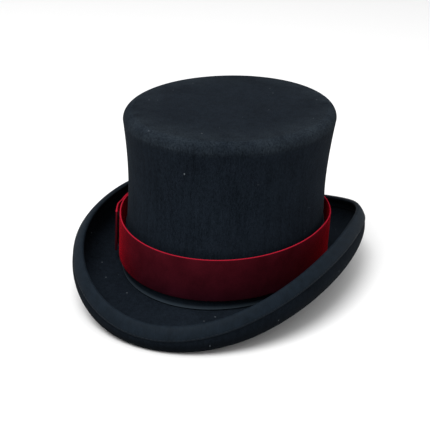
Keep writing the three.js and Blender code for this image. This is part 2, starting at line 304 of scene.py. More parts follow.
# -------- material helpers
class Nodes:
    """A material's node tree, with short ways to add nodes and link them."""

    def __init__(self, name):
        self.material = bpy.data.materials.new(name)
        self.material.use_nodes = True
        self.tree = self.material.node_tree
        self.shader = self.tree.nodes["Principled BSDF"]

    def add(self, kind, inputs=None, **settings):
        node = self.tree.nodes.new("ShaderNode" + kind)
        for key, value in settings.items():
            setattr(node, key, value)
        for key, value in (inputs or {}).items():
            if isinstance(value, bpy.types.NodeSocket):
                self.tree.links.new(value, node.inputs[key])
            else:
                node.inputs[key].default_value = value
        return node

    def set(self, **values):
        """Sets the shader's own sockets: a number or colour as it is, a socket by a link."""
        for key, value in values.items():
            socket = self.shader.inputs[key.replace("_", " ").title().replace("Ior", "IOR")]
            if isinstance(value, bpy.types.NodeSocket):
                self.tree.links.new(value, socket)
            else:
                socket.default_value = value

    def place(self, kind="Object", scale=(1, 1, 1)):
        source = self.add("TexCoord").outputs[kind]
        return self.add("Mapping", {"Vector": source, "Scale": scale}).outputs[0]

    def noise(self, vector, scale, detail, roughness):
        inputs = {"Vector": vector, "Scale": scale, "Detail": detail, "Roughness": roughness}
        return self.add("TexNoise", inputs).outputs["Fac"]

    def math(self, operation, a, b, c=0.0, clamp=False):
        return self.add("Math", {0: a, 1: b, 2: c}, operation=operation, use_clamp=clamp).outputs[0]

    def weigh(self, *pairs):
        """Adds up sockets, each times its weight."""
        total = None
        for value, weight in pairs:
            part = self.math("MULTIPLY", value, weight)
            total = part if total is None else self.math("ADD", total, part)
        return total

    def painted(self, name):
        return self.add("Attribute", attribute_name=name).outputs["Fac"]

    def ramp(self, value, stops):
        node = self.add("ValToRGB", {"Fac": value})
        ramp = node.color_ramp
        while len(ramp.elements) < len(stops):
            ramp.elements.new(0.5)
        for element, (position, colour) in zip(ramp.elements, stops):
            element.position, element.color = position, (*colour, 1)
        return node.outputs["Color"]

    def mix(self, share, a, b, blend="MIX"):
        node = self.add("Mix", data_type="RGBA", blend_type=blend)
        for socket, value in zip((node.inputs[0], node.inputs[6], node.inputs[7]), (share, a, b)):
            if isinstance(value, bpy.types.NodeSocket):
                self.tree.links.new(value, socket)
            else:
                socket.default_value = value if isinstance(value, float) else (*value, 1)
        return node.outputs[2]

    def painted_shade_by_slope(self, colour, upright, underneath):
        """Painted shade: multiplies a colour by how its surface faces. It keeps the colour where the
        surface faces up at a slant, darkens it where it stands upright, more where it faces down, and a
        little where it faces straight up.
        """
        normal = self.add("NewGeometry").outputs["Normal"]
        facing_up = self.add("SeparateXYZ", {0: normal}).outputs["Z"]
        place = self.math("MULTIPLY_ADD", facing_up, 0.5, 0.5, clamp=True)
        below, level, above, flat = [(v, v, v) for v in (underneath, upright, 1.0, 0.8)]
        stops = [(0.3, below), (0.47, level), (0.62, level), (0.93, above), (0.99, above), (1, flat)]
        share = self.ramp(place, stops)
        return self.mix(1.0, colour, share, "MULTIPLY")

    def bump(self, height, distance, strength, normal=None):
        inputs = {"Height": height, "Distance": distance, "Strength": strength}
        if normal is not None:
            inputs["Normal"] = normal
        return self.add("Bump", inputs).outputs[0]


LINT = (0.11, 0.125, 0.14)
# pale colour for dust and a painted highlight on the tip's edge
DUST_AND_HIGHLIGHT = (0.026, 0.034, 0.041)
# painted shade for the brim's under side
UNDERSIDE_SHADE = (0.001, 0.0016, 0.0026)
# paler selvedge colour, partly a painted highlight
SELVEDGE_AND_HIGHLIGHT = (0.05, 0.068, 0.085)
# painted highlight where the velvet bends over its upper edge
VELVET_EDGE_HIGHLIGHT = (0.36, 0.011, 0.027)


def felt_material(name, light, dark):
    """Pressed wool: soft mottling, fine fibres combed down the crown, and a few pale specks of lint."""
    n = Nodes(name)
    place = n.place()
    mottle = n.noise(place, 30, 6, 0.66)
    brushed = n.noise(n.place(scale=(1, 1, 0.12)), 300, 3, 0.6)
    fibres = n.noise(n.place(scale=(1, 1, 0.4)), 950, 4, 0.85)
    shade = n.weigh((mottle, 0.2), (fibres, 0.6), (brushed, 0.2))
    colour = n.ramp(shade, [(0.39, dark), (0.63, light)])
    patchy = n.math("MULTIPLY_ADD", mottle, 2.5, -0.75, clamp=True)
    tufts = n.math("MULTIPLY_ADD", fibres, 3.5, -1.3, clamp=True)
    # dust on the tip's edge, and a painted highlight there
    dust_and_highlight_share = n.math("MULTIPLY", n.math("MULTIPLY", n.painted("edge_dust_and_highlight"), patchy), tufts)
    colour = n.mix(dust_and_highlight_share, colour, DUST_AND_HIGHLIGHT)
    # painted shade: the brim's under side is darkened towards near black
    colour = n.mix(n.math("MULTIPLY", n.painted("under"), 0.5), colour, UNDERSIDE_SHADE)
    lint = n.add("TexVoronoi", {"Vector": n.place(scale=(1, 1, 0.55)), "Scale": 150.0})
    near = n.math("LESS_THAN", lint.outputs["Distance"], 0.075)
    chosen = n.math("GREATER_THAN", n.add("SeparateColor", {0: lint.outputs["Color"]}).outputs[0], 0.8)
    colour = n.mix(n.math("MULTIPLY", near, chosen), colour, LINT)
    pile = n.bump(fibres, 0.3 * MM, 0.6, n.bump(mottle, 1.0 * MM, 0.35))
    # painted shade on the felt's upright and downward-facing surfaces
    n.set(base_color=n.painted_shade_by_slope(colour, 0.84, 0.48), roughness=0.95, normal=pile)
    n.set(specular_ior_level=0.02, sheen_weight=0.008, sheen_roughness=0.5)
    n.set(sheen_tint=(0.6, 0.75, 0.9, 1))
    return n.material


def ribbon_material(name, light, dark):
    """Grosgrain: the cords are in the mesh, the threads that wrap them are here, a selvedge is paler with a
    painted highlight.
    """
    n = Nodes(name)
    mottle = n.noise(n.place(), 140, 3, 0.6)
    threads = n.noise(n.place("UV", (2600, 700, 1)), 1, 2, 0.5)
    shade = n.weigh((mottle, 0.5), (threads, 0.5))
    # painted shade on the ribbon's upright and downward-facing surfaces
    colour = n.painted_shade_by_slope(n.ramp(shade, [(0.35, dark), (0.65, light)]), 0.85, 0.35)
    # the lower edge takes a paler selvedge colour that is partly a painted highlight
    n.set(base_color=n.mix(n.painted("edge_highlight"), colour, SELVEDGE_AND_HIGHLIGHT), roughness=0.6)
    n.set(normal=n.bump(threads, 0.08 * MM, 0.5), specular_ior_level=0.05)
    n.set(sheen_weight=0.01, sheen_roughness=0.35, sheen_tint=(0.6, 0.75, 0.95, 1))
    return n.material


def velvet_material(name):
    """Short pile: dark seen straight on and brighter at a slant, by its sheen; a painted highlight makes it
    brightest along its upper edge, where it bends over, and painted shade darkens it down the band."""
    n = Nodes(name)
    place = n.place()
    mottle = n.noise(place, 60, 4, 0.65)
    pile = n.noise(place, 2400, 3, 0.7)
    dyed = [(0.34, (0.026, 0.0025, 0.0046)), (0.66, (0.054, 0.0045, 0.0085))]
    colour = n.ramp(n.weigh((mottle, 0.6), (pile, 0.4)), dyed)
    # painted shade: the velvet darkens towards the band's lower edge
    stops = [(0, (0.42, 0.75, 0.85)), (0.35, (0.72, 0.95, 0.95)), (0.95, (1, 1, 1))]
    colour = n.mix(1.0, colour, n.ramp(n.painted("up"), stops), "MULTIPLY")
    # painted highlight along the band's upper edge
    n.set(base_color=n.mix(n.painted("edge_highlight"), colour, VELVET_EDGE_HIGHLIGHT))
    n.set(roughness=0.9, specular_ior_level=0.0)
    n.set(normal=n.bump(pile, 0.3 * MM, 0.5, n.bump(mottle, 0.8 * MM, 0.35)))
    n.set(sheen_weight=0.34, sheen_roughness=0.3, sheen_tint=(0.95, 0.012, 0.03, 1))
    return n.material


def satin_material(name, light, dark):
    n = Nodes(name)
    weave = n.noise(n.place("UV", (3200, 900, 1)), 1, 2, 0.5)
    mottle = n.noise(n.place(), 60, 2, 0.5)
    n.set(base_color=n.ramp(mottle, [(0.35, dark), (0.65, light)]), specular_ior_level=0.45)
    n.set(roughness=n.math("MULTIPLY_ADD", weave, 0.2, 0.24), anisotropic=0.4)
    n.set(normal=n.bump(weave, 0.05 * MM, 0.4))
    return n.material


def leather_material(name):
    """Thin roan leather: a fine pebble, creases and a slight shine where it is rubbed."""
    n = Nodes(name)
    place = n.place()
    pebble = n.add("TexVoronoi", {"Vector": place, "Scale": 1100.0}).outputs["Distance"]
    crease = n.noise(n.place(scale=(1, 1, 2.5)), 260, 4, 0.65)
    mottle = n.noise(place, 55, 4, 0.6)
    colour = n.ramp(mottle, [(0.3, (0.017, 0.0115, 0.0085)), (0.7, (0.034, 0.0235, 0.017))])
    n.set(base_color=colour, roughness=n.math("MULTIPLY_ADD", mottle, 0.3, 0.34))
    n.set(normal=n.bump(pebble, 0.1 * MM, 0.5, n.bump(crease, 0.2 * MM, 0.35)))
    n.set(specular_ior_level=0.45)
    return n.material


def thread_material(name, colour):
    n = Nodes(name)
    twist = n.noise(n.place(), 3000, 1, 0.5)
    pale = tuple(1.5 * c for c in colour)
    n.set(base_color=n.ramp(twist, [(0.35, colour), (0.65, pale)]), roughness=0.5)
    n.set(normal=n.bump(twist, 0.06 * MM, 0.5), specular_ior_level=0.1)
    return n.material


def tape_material(name):
    """Hook and loop tape: a nylon ground under loops or hooks."""
    n = Nodes(name)
    fuzz = n.noise(n.place(), 2200, 3, 0.7)
    n.set(base_color=n.ramp(fuzz, [(0.3, (0.006, 0.006, 0.007)), (0.7, (0.022, 0.022, 0.025))]))
    n.set(normal=n.bump(fuzz, 0.15 * MM, 0.6), roughness=0.7, specular_ior_level=0.2)
    return n.material


def steel_material(name):
    n = Nodes(name)
    scratch = n.noise(n.place(), 900, 2, 0.5)
    n.set(base_color=(0.55, 0.56, 0.58, 1), metallic=1.0)
    n.set(roughness=n.math("MULTIPLY_ADD", scratch, 0.2, 0.25))
    return n.material


def plastic_material(name):
    n = Nodes(name)
    haze = n.noise(n.place(), 500, 2, 0.5)
    n.set(base_color=n.ramp(haze, [(0.3, (0.016, 0.016, 0.018)), (0.7, (0.024, 0.024, 0.026))]))
    n.set(roughness=n.math("MULTIPLY_ADD", haze, 0.15, 0.4))
    return n.material


felt = felt_material("wool_felt", (0.0112, 0.0162, 0.0235), (0.003, 0.0046, 0.007))
grosgrain = ribbon_material("grosgrain", (0.007, 0.012, 0.0185), (0.0036, 0.0064, 0.0098))
velvet = velvet_material("red_velvet")
satin = satin_material("black_satin", (0.014, 0.015, 0.02), (0.008, 0.009, 0.012))
leather = leather_material("sweatband_leather")
dark_thread = thread_material("dark_thread", (0.0055, 0.008, 0.012))
brown_thread = thread_material("brown_thread", (0.06, 0.042, 0.03))
red_thread = thread_material("red_thread", (0.11, 0.004, 0.012))
tape = tape_material("hook_and_loop_tape")
label_weave = satin_material("label_weave", (0.05, 0.052, 0.058), (0.036, 0.038, 0.043))
steel = steel_material("wire_steel")
plastic = plastic_material("reed_plastic")


def finish(obj, body, material, slot, *nodes):
    obj.data.materials.append(material)
    if body:
        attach(obj, body)
    if nodes:
        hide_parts(*nodes)
    return obj


# -------- the felt
def arc(inset, level, radius, start, end, steps):
    turned = np.radians(np.linspace(start, end, steps + 1))
    return np.stack([inset - radius * np.cos(turned), level + radius * np.sin(turned)], 1).tolist()


def wall(inset, start, end, steps):
    return [(inset, z) for z in np.linspace(start, end, steps + 1)]


def unevenness(angle, level):
    """How far hand-blocked felt stands proud of the true crown, fading out under the ribbon."""
    wave = np.sin(2 * angle + 0.6 + level / (40 * MM)) + 0.7 * np.sin(3 * angle - 1.1 - level / (22 * MM))
    wave += 0.5 * np.sin(5 * angle + 2.0 + level / (15 * MM))
    above = np.clip((level - 56 * MM) / (16 * MM), 0, 1)
    return 0.09 * MM * (wave + 2.2) * above


def make_crown():
    dome = 0.25 * MM
    foot = BASE[0] + FELT / 2 + GAP + 0.4 * MM
    shoulder = TIP[0] - TIP_EDGE
    across = np.linspace(0, 1, 26)[:-1]
    tip = [(TIP[1] + (TIP_EDGE - TIP[1]) * t, TIP[0] + dome * (1 - t * t)) for t in across]
    lip = 0.8 * MM
    outline = tip + arc(TIP_EDGE, shoulder, TIP_EDGE, 90, 0, 14)
    outline += wall(0, shoulder, foot + lip, 70)[1:] + arc(lip, foot + lip, lip, 0, -90, 4)[1:]
    outside = len(outline)
    outline += [(FELT, foot)] + wall(FELT, foot + lip, shoulder, 40)
    outline += arc(TIP_EDGE, shoulder, TIP_EDGE - FELT, 0, 90, 6)[1:] + [(TIP[1], TIP[0] - FELT)]
    inset, level = outline_array(outline)
    angle = turn_angles(240)
    proud = np.zeros((240, len(outline)))
    proud[:, :outside] = unevenness(angle, level)[:, :outside]
    over_tip = np.clip((inset - TIP_EDGE / 2) / TIP_EDGE, 0, 1)
    fading = np.clip((TIP[1] - inset) / (30 * MM), 0, 1)
    points = in_crown(angle, inset - proud * (1 - over_tip), level)
    points[..., 2] += proud * over_tip * fading
    crown = grid("felt_crown", points, turns=True, loops=False, poles=True)
    x, y, z = (np.array([v.co for v in crown.data.vertices]) - np.array(AXIS)).T
    inward = (1 - np.hypot(x / TIP[1], y / TIP[2])) * TIP[1] - TIP_EDGE
    down = TIP[0] - TIP_EDGE - z
    # the tip's edge, paled by dust and by a painted highlight
    edge_dust_and_highlight = np.clip(1 - inward / (30 * MM), 0, 1) ** 1.5 * np.clip(1 - down / (4 * MM), 0, 1)
    paint(crown, "edge_dust_and_highlight", np.minimum(edge_dust_and_highlight, 1), x.shape)
    return crown


def make_brim():
    inner = -FELT / BRIM_SIDE["width"]
    shares = np.linspace(inner, 1, 72)
    half = FELT / 2
    edge = [(1.0, -half * 0.8), (1.002, 0.0), (1.0, half * 0.8)]
    over = [(share, -half) for share in shares[1:-1]]
    under = [(share, half) for share in shares[-2:0:-1]]
    mouth = [(inner * 0.8, half), (inner, half * 0.5), (inner, -half * 0.5), (inner * 0.8, -half)]
    share, across = outline_array(over + edge + under + mouth)
    points = on_brim(turn_angles(360), share, across)
    brim = grid("felt_brim", points, turns=True)
    # marks the brim's under side, where the felt material paints shade
    paint(brim, "under", across > 0, points.shape[:2])
    return brim


finish(make_crown(), "hat", felt, "felt", "crown")
finish(make_brim(), "hat", felt, "felt", "brim")


# -------- lines round the hat
def even_angles(line, pitch, rows_each=1):
    """Angles evenly spaced along a closed line round the hat, rows_each of them to a pitch, and the
    line's length. line(angles) gives points."""
    many = turn_angles(1440)
    points = line(many)[:, 0]
    step = np.linalg.norm(np.roll(points, -1, 0) - points, axis=1)
    reached = np.concatenate([[0], np.cumsum(step)])
    length = reached[-1]
    count = rows_each * round(length / pitch)
    angles = np.append(many[:, 0], 2 * math.pi)
    return np.interp(np.arange(count) / count * length, reached, angles)[:, None], length


def rim(angle):
    return on_brim(angle, 0, 0, from_rim=True)


def crown_line(level, inset=0):
    return lambda angle: in_crown(angle, inset, level)


def ring_outline(across, along, radius):
    """A round outline for a wire or cord: two rows of offsets about its middle."""
    turned = turn_angles(12).T
    return across + radius * np.cos(turned), along + radius * np.sin(turned)


def stitches(name, place, count, length, radius, rise):
    """Short threads that dip into the cloth at both ends. place(number, along, aside, lift) gives points,
    with along and aside in metres from the stitch's middle and lift its height off the cloth."""
    sides, sections = 6, 6
    share = np.linspace(-1, 1, sections)
    turned = turn_angles(sides)[:, 0]
    number, along, round_it = np.meshgrid(np.arange(count), share, turned, indexing="ij")
    thick = radius * np.sqrt(1 - 0.75 * along**4)
    lift = rise * (1 - along**2) - 0.5 * radius * along**2 + thick * np.sin(round_it)
    aside = thick * np.cos(round_it)
    points = place(number.ravel(), along.ravel() * length / 2, aside.ravel(), lift.ravel())
    ring = np.arange(sides)
    faces = []
    for first in range(0, count * sections * sides, sections * sides):
        for k in range(sections - 1):
            a = first + k * sides + ring
            b = first + k * sides + (ring + 1) % sides
            faces += np.stack([a, a + sides, b + sides, b], 1).tolist()
        faces += [(first + ring[::-1]).tolist(), (first + (sections - 1) * sides + ring).tolist()]
    return face_out(add_mesh(name, points, faces))


def face_out(obj):
    """Turns every closed shell of a mesh to face outwards."""
    mesh = bmesh.new()
    mesh.from_mesh(obj.data)
    bmesh.ops.recalc_face_normals(mesh, faces=mesh.faces)
    mesh.to_mesh(obj.data)
    mesh.free()
    return obj


# -------- rim: wire, ribbon and its stitches
RIB_PITCH = 1.2 * MM
RIB_DEPTH = 0.07 * MM
SAMPLES_PER_RIB = 4
BINDING_INNER = FELT / 2 + 0.1 * MM
BINDING_OUTER = BINDING_INNER + BINDING_THICKNESS + 0.1 * MM
BINDING_NOSE = 2 * GAP + 2 * WIRE_RADIUS + BINDING_THICKNESS


def ribbing(rows):
    """How far each row stands out: the cords of a grosgrain ribbon, one every SAMPLES_PER_RIB rows."""
    return RIB_DEPTH * np.cos(2 * math.pi * np.arange(rows) / SAMPLES_PER_RIB)[:, None]


def binding_outline(inner, outer, leg, nose):
    """A ribbon folded over the rim: points (beyond the felt's edge, across), and how many are outside."""
    cavity = nose - (outer - inner)
    legs = np.linspace(-leg + 0.3 * MM, 0, 6)
    turned = np.radians(np.linspace(-90, 90, 9))[1:-1]
    outside = [(b, -outer) for b in legs] + [(nose * math.cos(t), outer * math.sin(t)) for t in turned]
    outside += [(b, outer) for b in legs[::-1]] + [(-leg, (outer + inner) / 2)]
    inside = [(-leg + 0.3 * MM, inner), (-leg / 2, inner), (0, inner), (cavity, 0.7 * inner)]
    inside += [(b, -a) for b, a in inside[::-1]]
    return outside + inside + [(-leg, -(outer + inner) / 2)], len(outside) - 1


def make_binding():
    angles, length = even_angles(rim, RIB_PITCH, SAMPLES_PER_RIB)
    outline, outside = binding_outline(BINDING_INNER, BINDING_OUTER, BINDING_LEG, BINDING_NOSE)
    beyond, across = outline_array(outline)
    ribs = np.zeros((1, len(outline)))
    ribs[0, :outside] = 1
    ribs = ribs * ribbing(len(angles))
    points = on_brim(angles, beyond + ribs * (beyond > 0), across + ribs * np.sign(across), True)
    return grid("rim_binding", points, turns=True, size=(length, 2 * BINDING_LEG))


def make_binding_join():
    """The binding's other end, folded under and laid over the first at the back."""
    half_length = 4.5 * MM
    reach = half_length / TIP[1]
    along = np.linspace(-1, 1, 31)[:, None]
    angles = math.pi + reach * along
    thick = 0.45 * MM
    leg = BINDING_LEG + 0.1 * MM
    outline, _ = binding_outline(BINDING_OUTER, BINDING_OUTER + thick, leg, BINDING_NOSE + thick)
    beyond, across = outline_array(outline)
    lower = 0.3 * MM * np.clip(np.abs(along) * 10 - 9, 0, 1) ** 2
    ribs = RIB_DEPTH * np.cos(2 * math.pi * along * half_length / RIB_PITCH) - lower
    points = on_brim(angles, beyond + ribs * (beyond > 0), across + ribs * np.sign(across), True)
    return grid("binding_join", points, size=(2 * half_length, 2 * BINDING_LEG))


def make_wire():
    beyond, across = ring_outline(GAP + WIRE_RADIUS, 0, WIRE_RADIUS)
    return grid("rim_wire", on_brim(turn_angles(300), beyond, across, True), turns=True)


def binding_stitches(name, side):
    from_edge, pitch, thread = 1.1 * MM, 3.4 * MM, 0.16 * MM
    angles, length = even_angles(rim, pitch)
    per_metre = 2 * math.pi / length

    def place(number, along, aside, lift):
        angle = angles[number] + (along * per_metre)[:, None]
        beyond = -BINDING_LEG + from_edge + aside[:, None]
        return on_brim(angle, beyond, side * (BINDING_OUTER + RIB_DEPTH + lift)[:, None], True)[:, 0]

    return stitches(name, place, len(angles), 2.3 * MM, thread, 0.1 * MM)


finish(make_wire(), "hat", steel, "wire_steel", "brim_wire")
finish(make_binding(), "hat", grosgrain, "grosgrain", "brim_binding")
finish(make_binding_join(), "hat", grosgrain, "grosgrain")
for place, side in (("inside", -1), ("outside", 1)):
    finish(binding_stitches("binding_stitches_" + place, side), "hat", dark_thread, "grosgrain")


# -------- ribbon round the crown's base
def make_hat_ribbon():
    low = BASE[0] + RIBBON_LIFT
    angles, length = even_angles(crown_line(low), RIB_PITCH, SAMPLES_PER_RIB)
    slab = rounded_slab(low, low + RIBBON_HEIGHT, GAP / 2, GAP / 2 + RIBBON_THICKNESS, 0.22 * MM, 12)
    level, depth = outline_array(slab)
    points = in_crown(angles, -depth - ribbing(len(angles)) * (depth > GAP), level)
    ribbon = grid("base_ribbon", points, turns=True, size=(length, 2 * RIBBON_HEIGHT))
    # the lower edge: a paler selvedge with a painted highlight
    paint(ribbon, "edge_highlight", 0.7 * (level < low + 0.9 * MM), points.shape[:2])
    return ribbon


def make_ribbon_join():
    """The ribbon's folded end, lapped over its other end on the wearer's left."""
    low = BASE[0] + RIBBON_LIFT
    near = GAP / 2 + RIBBON_THICKNESS + 0.06 * MM
    width = 14 * MM
    along = np.linspace(-1, 1, 61)[:, None]
    angles = math.pi / 2 + 0.2 + width / 2 / BASE[1] * along
    slab = rounded_slab(low, low + RIBBON_HEIGHT, near, near + 0.4 * MM, 0.18 * MM, 12)
    level, depth = outline_array(slab)
    flattened = np.clip((1 - np.abs(along)) * 12, 0.3, 1)
    lifted = RIB_DEPTH * np.cos(2 * math.pi * along * width / 2 / RIB_PITCH) * (depth > near + 0.2 * MM)
    points = in_crown(angles, -near - (depth - near) * flattened - lifted, level)
    return grid("ribbon_join", points, size=(width, 2 * RIBBON_HEIGHT))


finish(make_hat_ribbon(), "hat", grosgrain, "grosgrain", "hat_ribbon")
finish(make_ribbon_join(), "hat", grosgrain, "grosgrain")


# -------- the velvet band
def rounded_ends(start, end, rows, radius, first, last):
    """Evenly spaced angles in degrees, and each row's share of the full thickness: where first or last
    is true, that end is turned over in a half round."""
    length_per_degree = math.radians(1) * BAND[0]
    turned = np.linspace(0, math.pi / 2, 6)[:-1]
    bend = radius * (1 - np.sin(turned)) / length_per_degree
    degrees, share = np.linspace(start, end, rows), np.ones(rows)
    if first:
        keep = degrees > start + bend[0]
        ends = start + bend[::-1]
        degrees, share = np.append(ends, degrees[keep]), np.append(np.cos(turned)[::-1], share[keep])
    if last:
        keep = degrees < end - bend[0]
        degrees, share = np.append(degrees[keep], end - bend), np.append(share[keep], np.cos(turned))
    return degrees[:, None], share[:, None]


def velvet_strip(name, start, end, rows, first, last):
    thick = BAND_THICKNESS
    degrees, share = rounded_ends(start, end, rows, thick / 2, first, last)
    degrees = np.sort(degrees, 0)
    level, depth = outline_array(rounded_slab(-BAND_HEIGHT, 0, 0, thick, 0.54 * MM, 18, 6))
    angle = np.radians(degrees)
    hem = 0.5 * MM * smooth_step((degrees - (LAP_END - 4)) / 2.5)
    across = (depth - thick / 2) * share * (1 + hem / thick) + thick / 2
    points = on_band(angle, BAND_TOP + level, step_out(degrees) + across + slack(angle, level))
    obj = grid(name, points, size=(0.62, 2 * BAND_HEIGHT))
    shape = points.shape[:2]
    # the upper edge, where the velvet material paints a highlight
    paint(obj, "edge_highlight", np.clip(1 + level / (0.5 * MM), 0, 1), shape)
    # how high up the band a point is, for the painted shade that darkens the velvet downwards
    paint(obj, "up", 1 + level / BAND_HEIGHT, shape)
    return obj


def step_out(degrees):
    """The band steps out where it starts to pass over its own inner end, and again over the pads."""
    over_pads = (LAP_DEPTH - LAP_CLOSE) * smooth_step((degrees - LAP_LEAVES) / PAD_TURN)
    return LAP_CLOSE * smooth_step((degrees - LAP_START + 1) / LAP_TURN) + over_pads


def slack(angle, level):
    """How far the velvet stands off from what it hangs round, most at its upper edge, where level is 0."""
    return BAND_SLACK * (1 + np.sin(3 * angle + 1)) * (1 + level / BAND_HEIGHT)


def band_place(degrees, depth):
    """A point half way up the band."""
    return on_band(np.radians([[degrees]]), BAND_MIDDLE, depth)[0, 0]


def velvet_thread(name, degrees, from_end):
    """A row of stitches down a turned end, where it is sewn to its pad."""
    count, pitch = 11, 3.2 * MM

    def place(number, along, aside, lift):
        level = BAND_MIDDLE + (number - (count - 1) / 2) * pitch + along
        angle = np.radians(degrees) + (aside + from_end) / BAND[0]
        depth = step_out(np.full(len(number), degrees)) + BAND_THICKNESS
        depth += slack(angle, level - BAND_TOP) + lift
        return on_band(angle[:, None], level[:, None], depth[:, None])[:, 0]

    return stitches(name, place, count, 2.0 * MM, 0.15 * MM, 0.1 * MM)


def patch(name, place, width, height, thick, steps, relief, corner=2 * MM):
    """A thin pad with rounded corners. place(u, v, lift) gives points, relief(u, v) its outer surface."""
    across, up = steps
    v = np.linspace(-height / 2, height / 2, up + 1)[:, None]
    into_corner = np.clip(np.abs(v) - (height / 2 - corner), 0, corner)
    half = width / 2 - corner + np.sqrt(corner**2 - into_corner**2)
    share = np.linspace(-1, 1, across + 1)[None]
    u = np.concatenate([half * share, half * share[:, ::-1]], 1)
    outer = np.concatenate([np.ones((up + 1, across + 1)), np.zeros((up + 1, across + 1))], 1)
    edge = np.minimum(1 - np.abs(share), (1 - np.abs(v) / (height / 2)) * height / width)
    soft = np.clip(edge * width / (1.2 * MM), 0, 1)
    soft = np.concatenate([soft, soft], 1)
    v = np.broadcast_to(v, u.shape)
    lift = outer * (thick * (0.75 + 0.25 * soft) + relief(u, v) * soft)
    return grid(name, place(u, v, lift), size=(height, 2 * width))


def on_pad(depth, side):
    """place(u, v, lift) on a fastening pad; side is 1 where it faces out and -1 where it faces in."""
    middle = math.radians((PAD_START + PAD_END) / 2)
    return lambda u, v, lift: on_band(middle + u / BAND[0], BAND_MIDDLE + v, depth + side * lift)


def loops(u, v):
    return 0.12 * MM * np.sin(u / (0.21 * MM) + 2 * np.sin(v / (0.9 * MM))) * np.sin(v / (0.17 * MM))


def hooks(u, v):
    post = np.cos(u * 2 * math.pi / (1.3 * MM)) * np.cos(v * 2 * math.pi / (1.3 * MM))
    return 0.22 * MM * np.clip(post * 3 - 1.2, 0, 1)


def make_velvet():
    pad_width = math.radians(PAD_END - PAD_START) * BAND[0]
    band = velvet_strip("velvet_band", INNER_END, LAP_START, 560, True, False)
    lap = velvet_strip("velvet_lap", LAP_START, LAP_END, 90, False, True)
    finish(band, "velvet_band", velvet, "velvet", "red_band")
    finish(lap, None, velvet, "velvet", "band_lap")
    bend_start, bend_end = band_place(LAP_START + 0.6, LAP_CLOSE), band_place(LAP_BENT, LAP_CLOSE)
    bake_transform(lap)
    lap_thread = velvet_thread("lap_stitches", LAP_END, -2.6 * MM)
    finish(lap_thread, "lap", red_thread, "velvet")
    steps = (56, 80)
    loop = patch("loop_tape", on_pad(LOOP_DEPTH, 1), pad_width, PAD_HEIGHT, PAD_THICKNESS, steps, loops)
    finish(loop, "velvet_band", tape, "hook_and_loop", "loop_pad")
    back_of_hooks = on_pad(HOOK_DEPTH + PAD_THICKNESS + 0.2 * MM, -1)
    hook = patch("hook_tape", back_of_hooks, pad_width, PAD_HEIGHT, PAD_THICKNESS, steps, hooks)
    finish(hook, "lap", tape, "hook_and_loop", "hook_pad")
    _, around = even_angles(lambda angle: on_band(angle, BAND_TOP, 0), BAND_HEIGHT)


make_velvet()


# -------- sweatband with reed, seam and bow
def make_sweatband():
    leather_thick, sleeve = 0.5 * MM, REED_RADIUS + 0.05 * MM
    outer = sleeve + leather_thick
    hem_top, hem_outside, start = 13 * MM, REED_INSET - outer, 9.4 * MM
    outside = SWEATBAND_INSIDE - leather_thick
    outline = arc(SWEATBAND_INSIDE - 0.25 * MM, SWEATBAND_TOP, 0.25 * MM, 0, 180, 4)
    outline += wall(SWEATBAND_INSIDE, SWEATBAND_TOP - 0.4 * MM, start, 16)
    face_points = len(outline)
    outline += arc(REED_INSET, REED_LEVEL, outer, 190, 350, 10)
    outline += [(hem_outside, REED_LEVEL + 1 * MM), (hem_outside, hem_top)]
    outline += [(hem_outside + leather_thick, hem_top), (hem_outside + leather_thick, REED_LEVEL + 1 * MM)]
    outline += arc(REED_INSET, REED_LEVEL, sleeve, 350, 190, 8)
    outline += [(outside, start), (outside, SWEATBAND_TOP - 0.4 * MM)]
    inset, level = outline_array(outline)
    near_seam = np.linspace(-1, 1, 17) * 1.2 * MM / BASE[1]
    plain = np.linspace(math.pi + 2 * near_seam[-1], 3 * math.pi + 2 * near_seam[0], 420)
    angle = np.concatenate([math.pi + near_seam, plain])[:, None]
    groove = 0.35 * MM * np.exp(-(((angle - math.pi) * BASE[1] / (0.35 * MM)) ** 2))
    low_down = np.clip((20 * MM - level) / (10 * MM), 0, 1)
    puckers = 0.12 * MM * np.sin(37 * angle + np.sin(9 * angle)) * low_down
    inner_face = (np.arange(len(outline)) < face_points)[None]
    points = in_crown(angle, inset - groove * inner_face + puckers * (level > 8 * MM), level)
    return grid("leather_sweatband", points, turns=True, size=(0.58, 0.1))


def make_reed():
    inset, level = ring_outline(REED_INSET, REED_LEVEL, REED_RADIUS)
    return grid("sweatband_reed_tube", in_crown(turn_angles(240), inset, level), turns=True)


def sweatband_stitches(name, level, pitch, length):
    angles, around = even_angles(crown_line(level, SWEATBAND_INSIDE), pitch)
    per_metre = 2 * math.pi / around

    def place(number, along, aside, lift):
        angle = angles[number] + (along * per_metre)[:, None]
        return in_crown(angle, (SWEATBAND_INSIDE + lift)[:, None], (level + aside)[:, None])[:, 0]

    return stitches(name, place, len(angles), length, 0.17 * MM, 0.12 * MM)


def inside_back(angle, level):
    """place(u, v, lift) about a spot on the sweatband's inner face; u runs along it and v up."""
    side, front = crown_oval(np.array(level))
    side, front = side - SWEATBAND_INSIDE, front - SWEATBAND_INSIDE
    along = math.hypot(side * math.cos(angle), front * math.sin(angle))
    return lambda u, v, lift: in_crown(angle + u / along, SWEATBAND_INSIDE + lift, level + v)


def seam_stitches():
    """Zigzag that joins the sweatband's two ends edge to edge at the back."""
    count, pitch = 9, 2.6 * MM
    spot = inside_back(math.pi, 11.5 * MM)

    def place(number, along, aside, lift):
        slope = np.where(number % 2 == 0, 1, -1)
        v = number * pitch + slope * along * 0.7 + aside
        return spot(along[:, None], v[:, None], lift[:, None])[:, 0]

    return stitches("seam_stitches", place, count, 3.4 * MM, 0.16 * MM, 0.2 * MM)


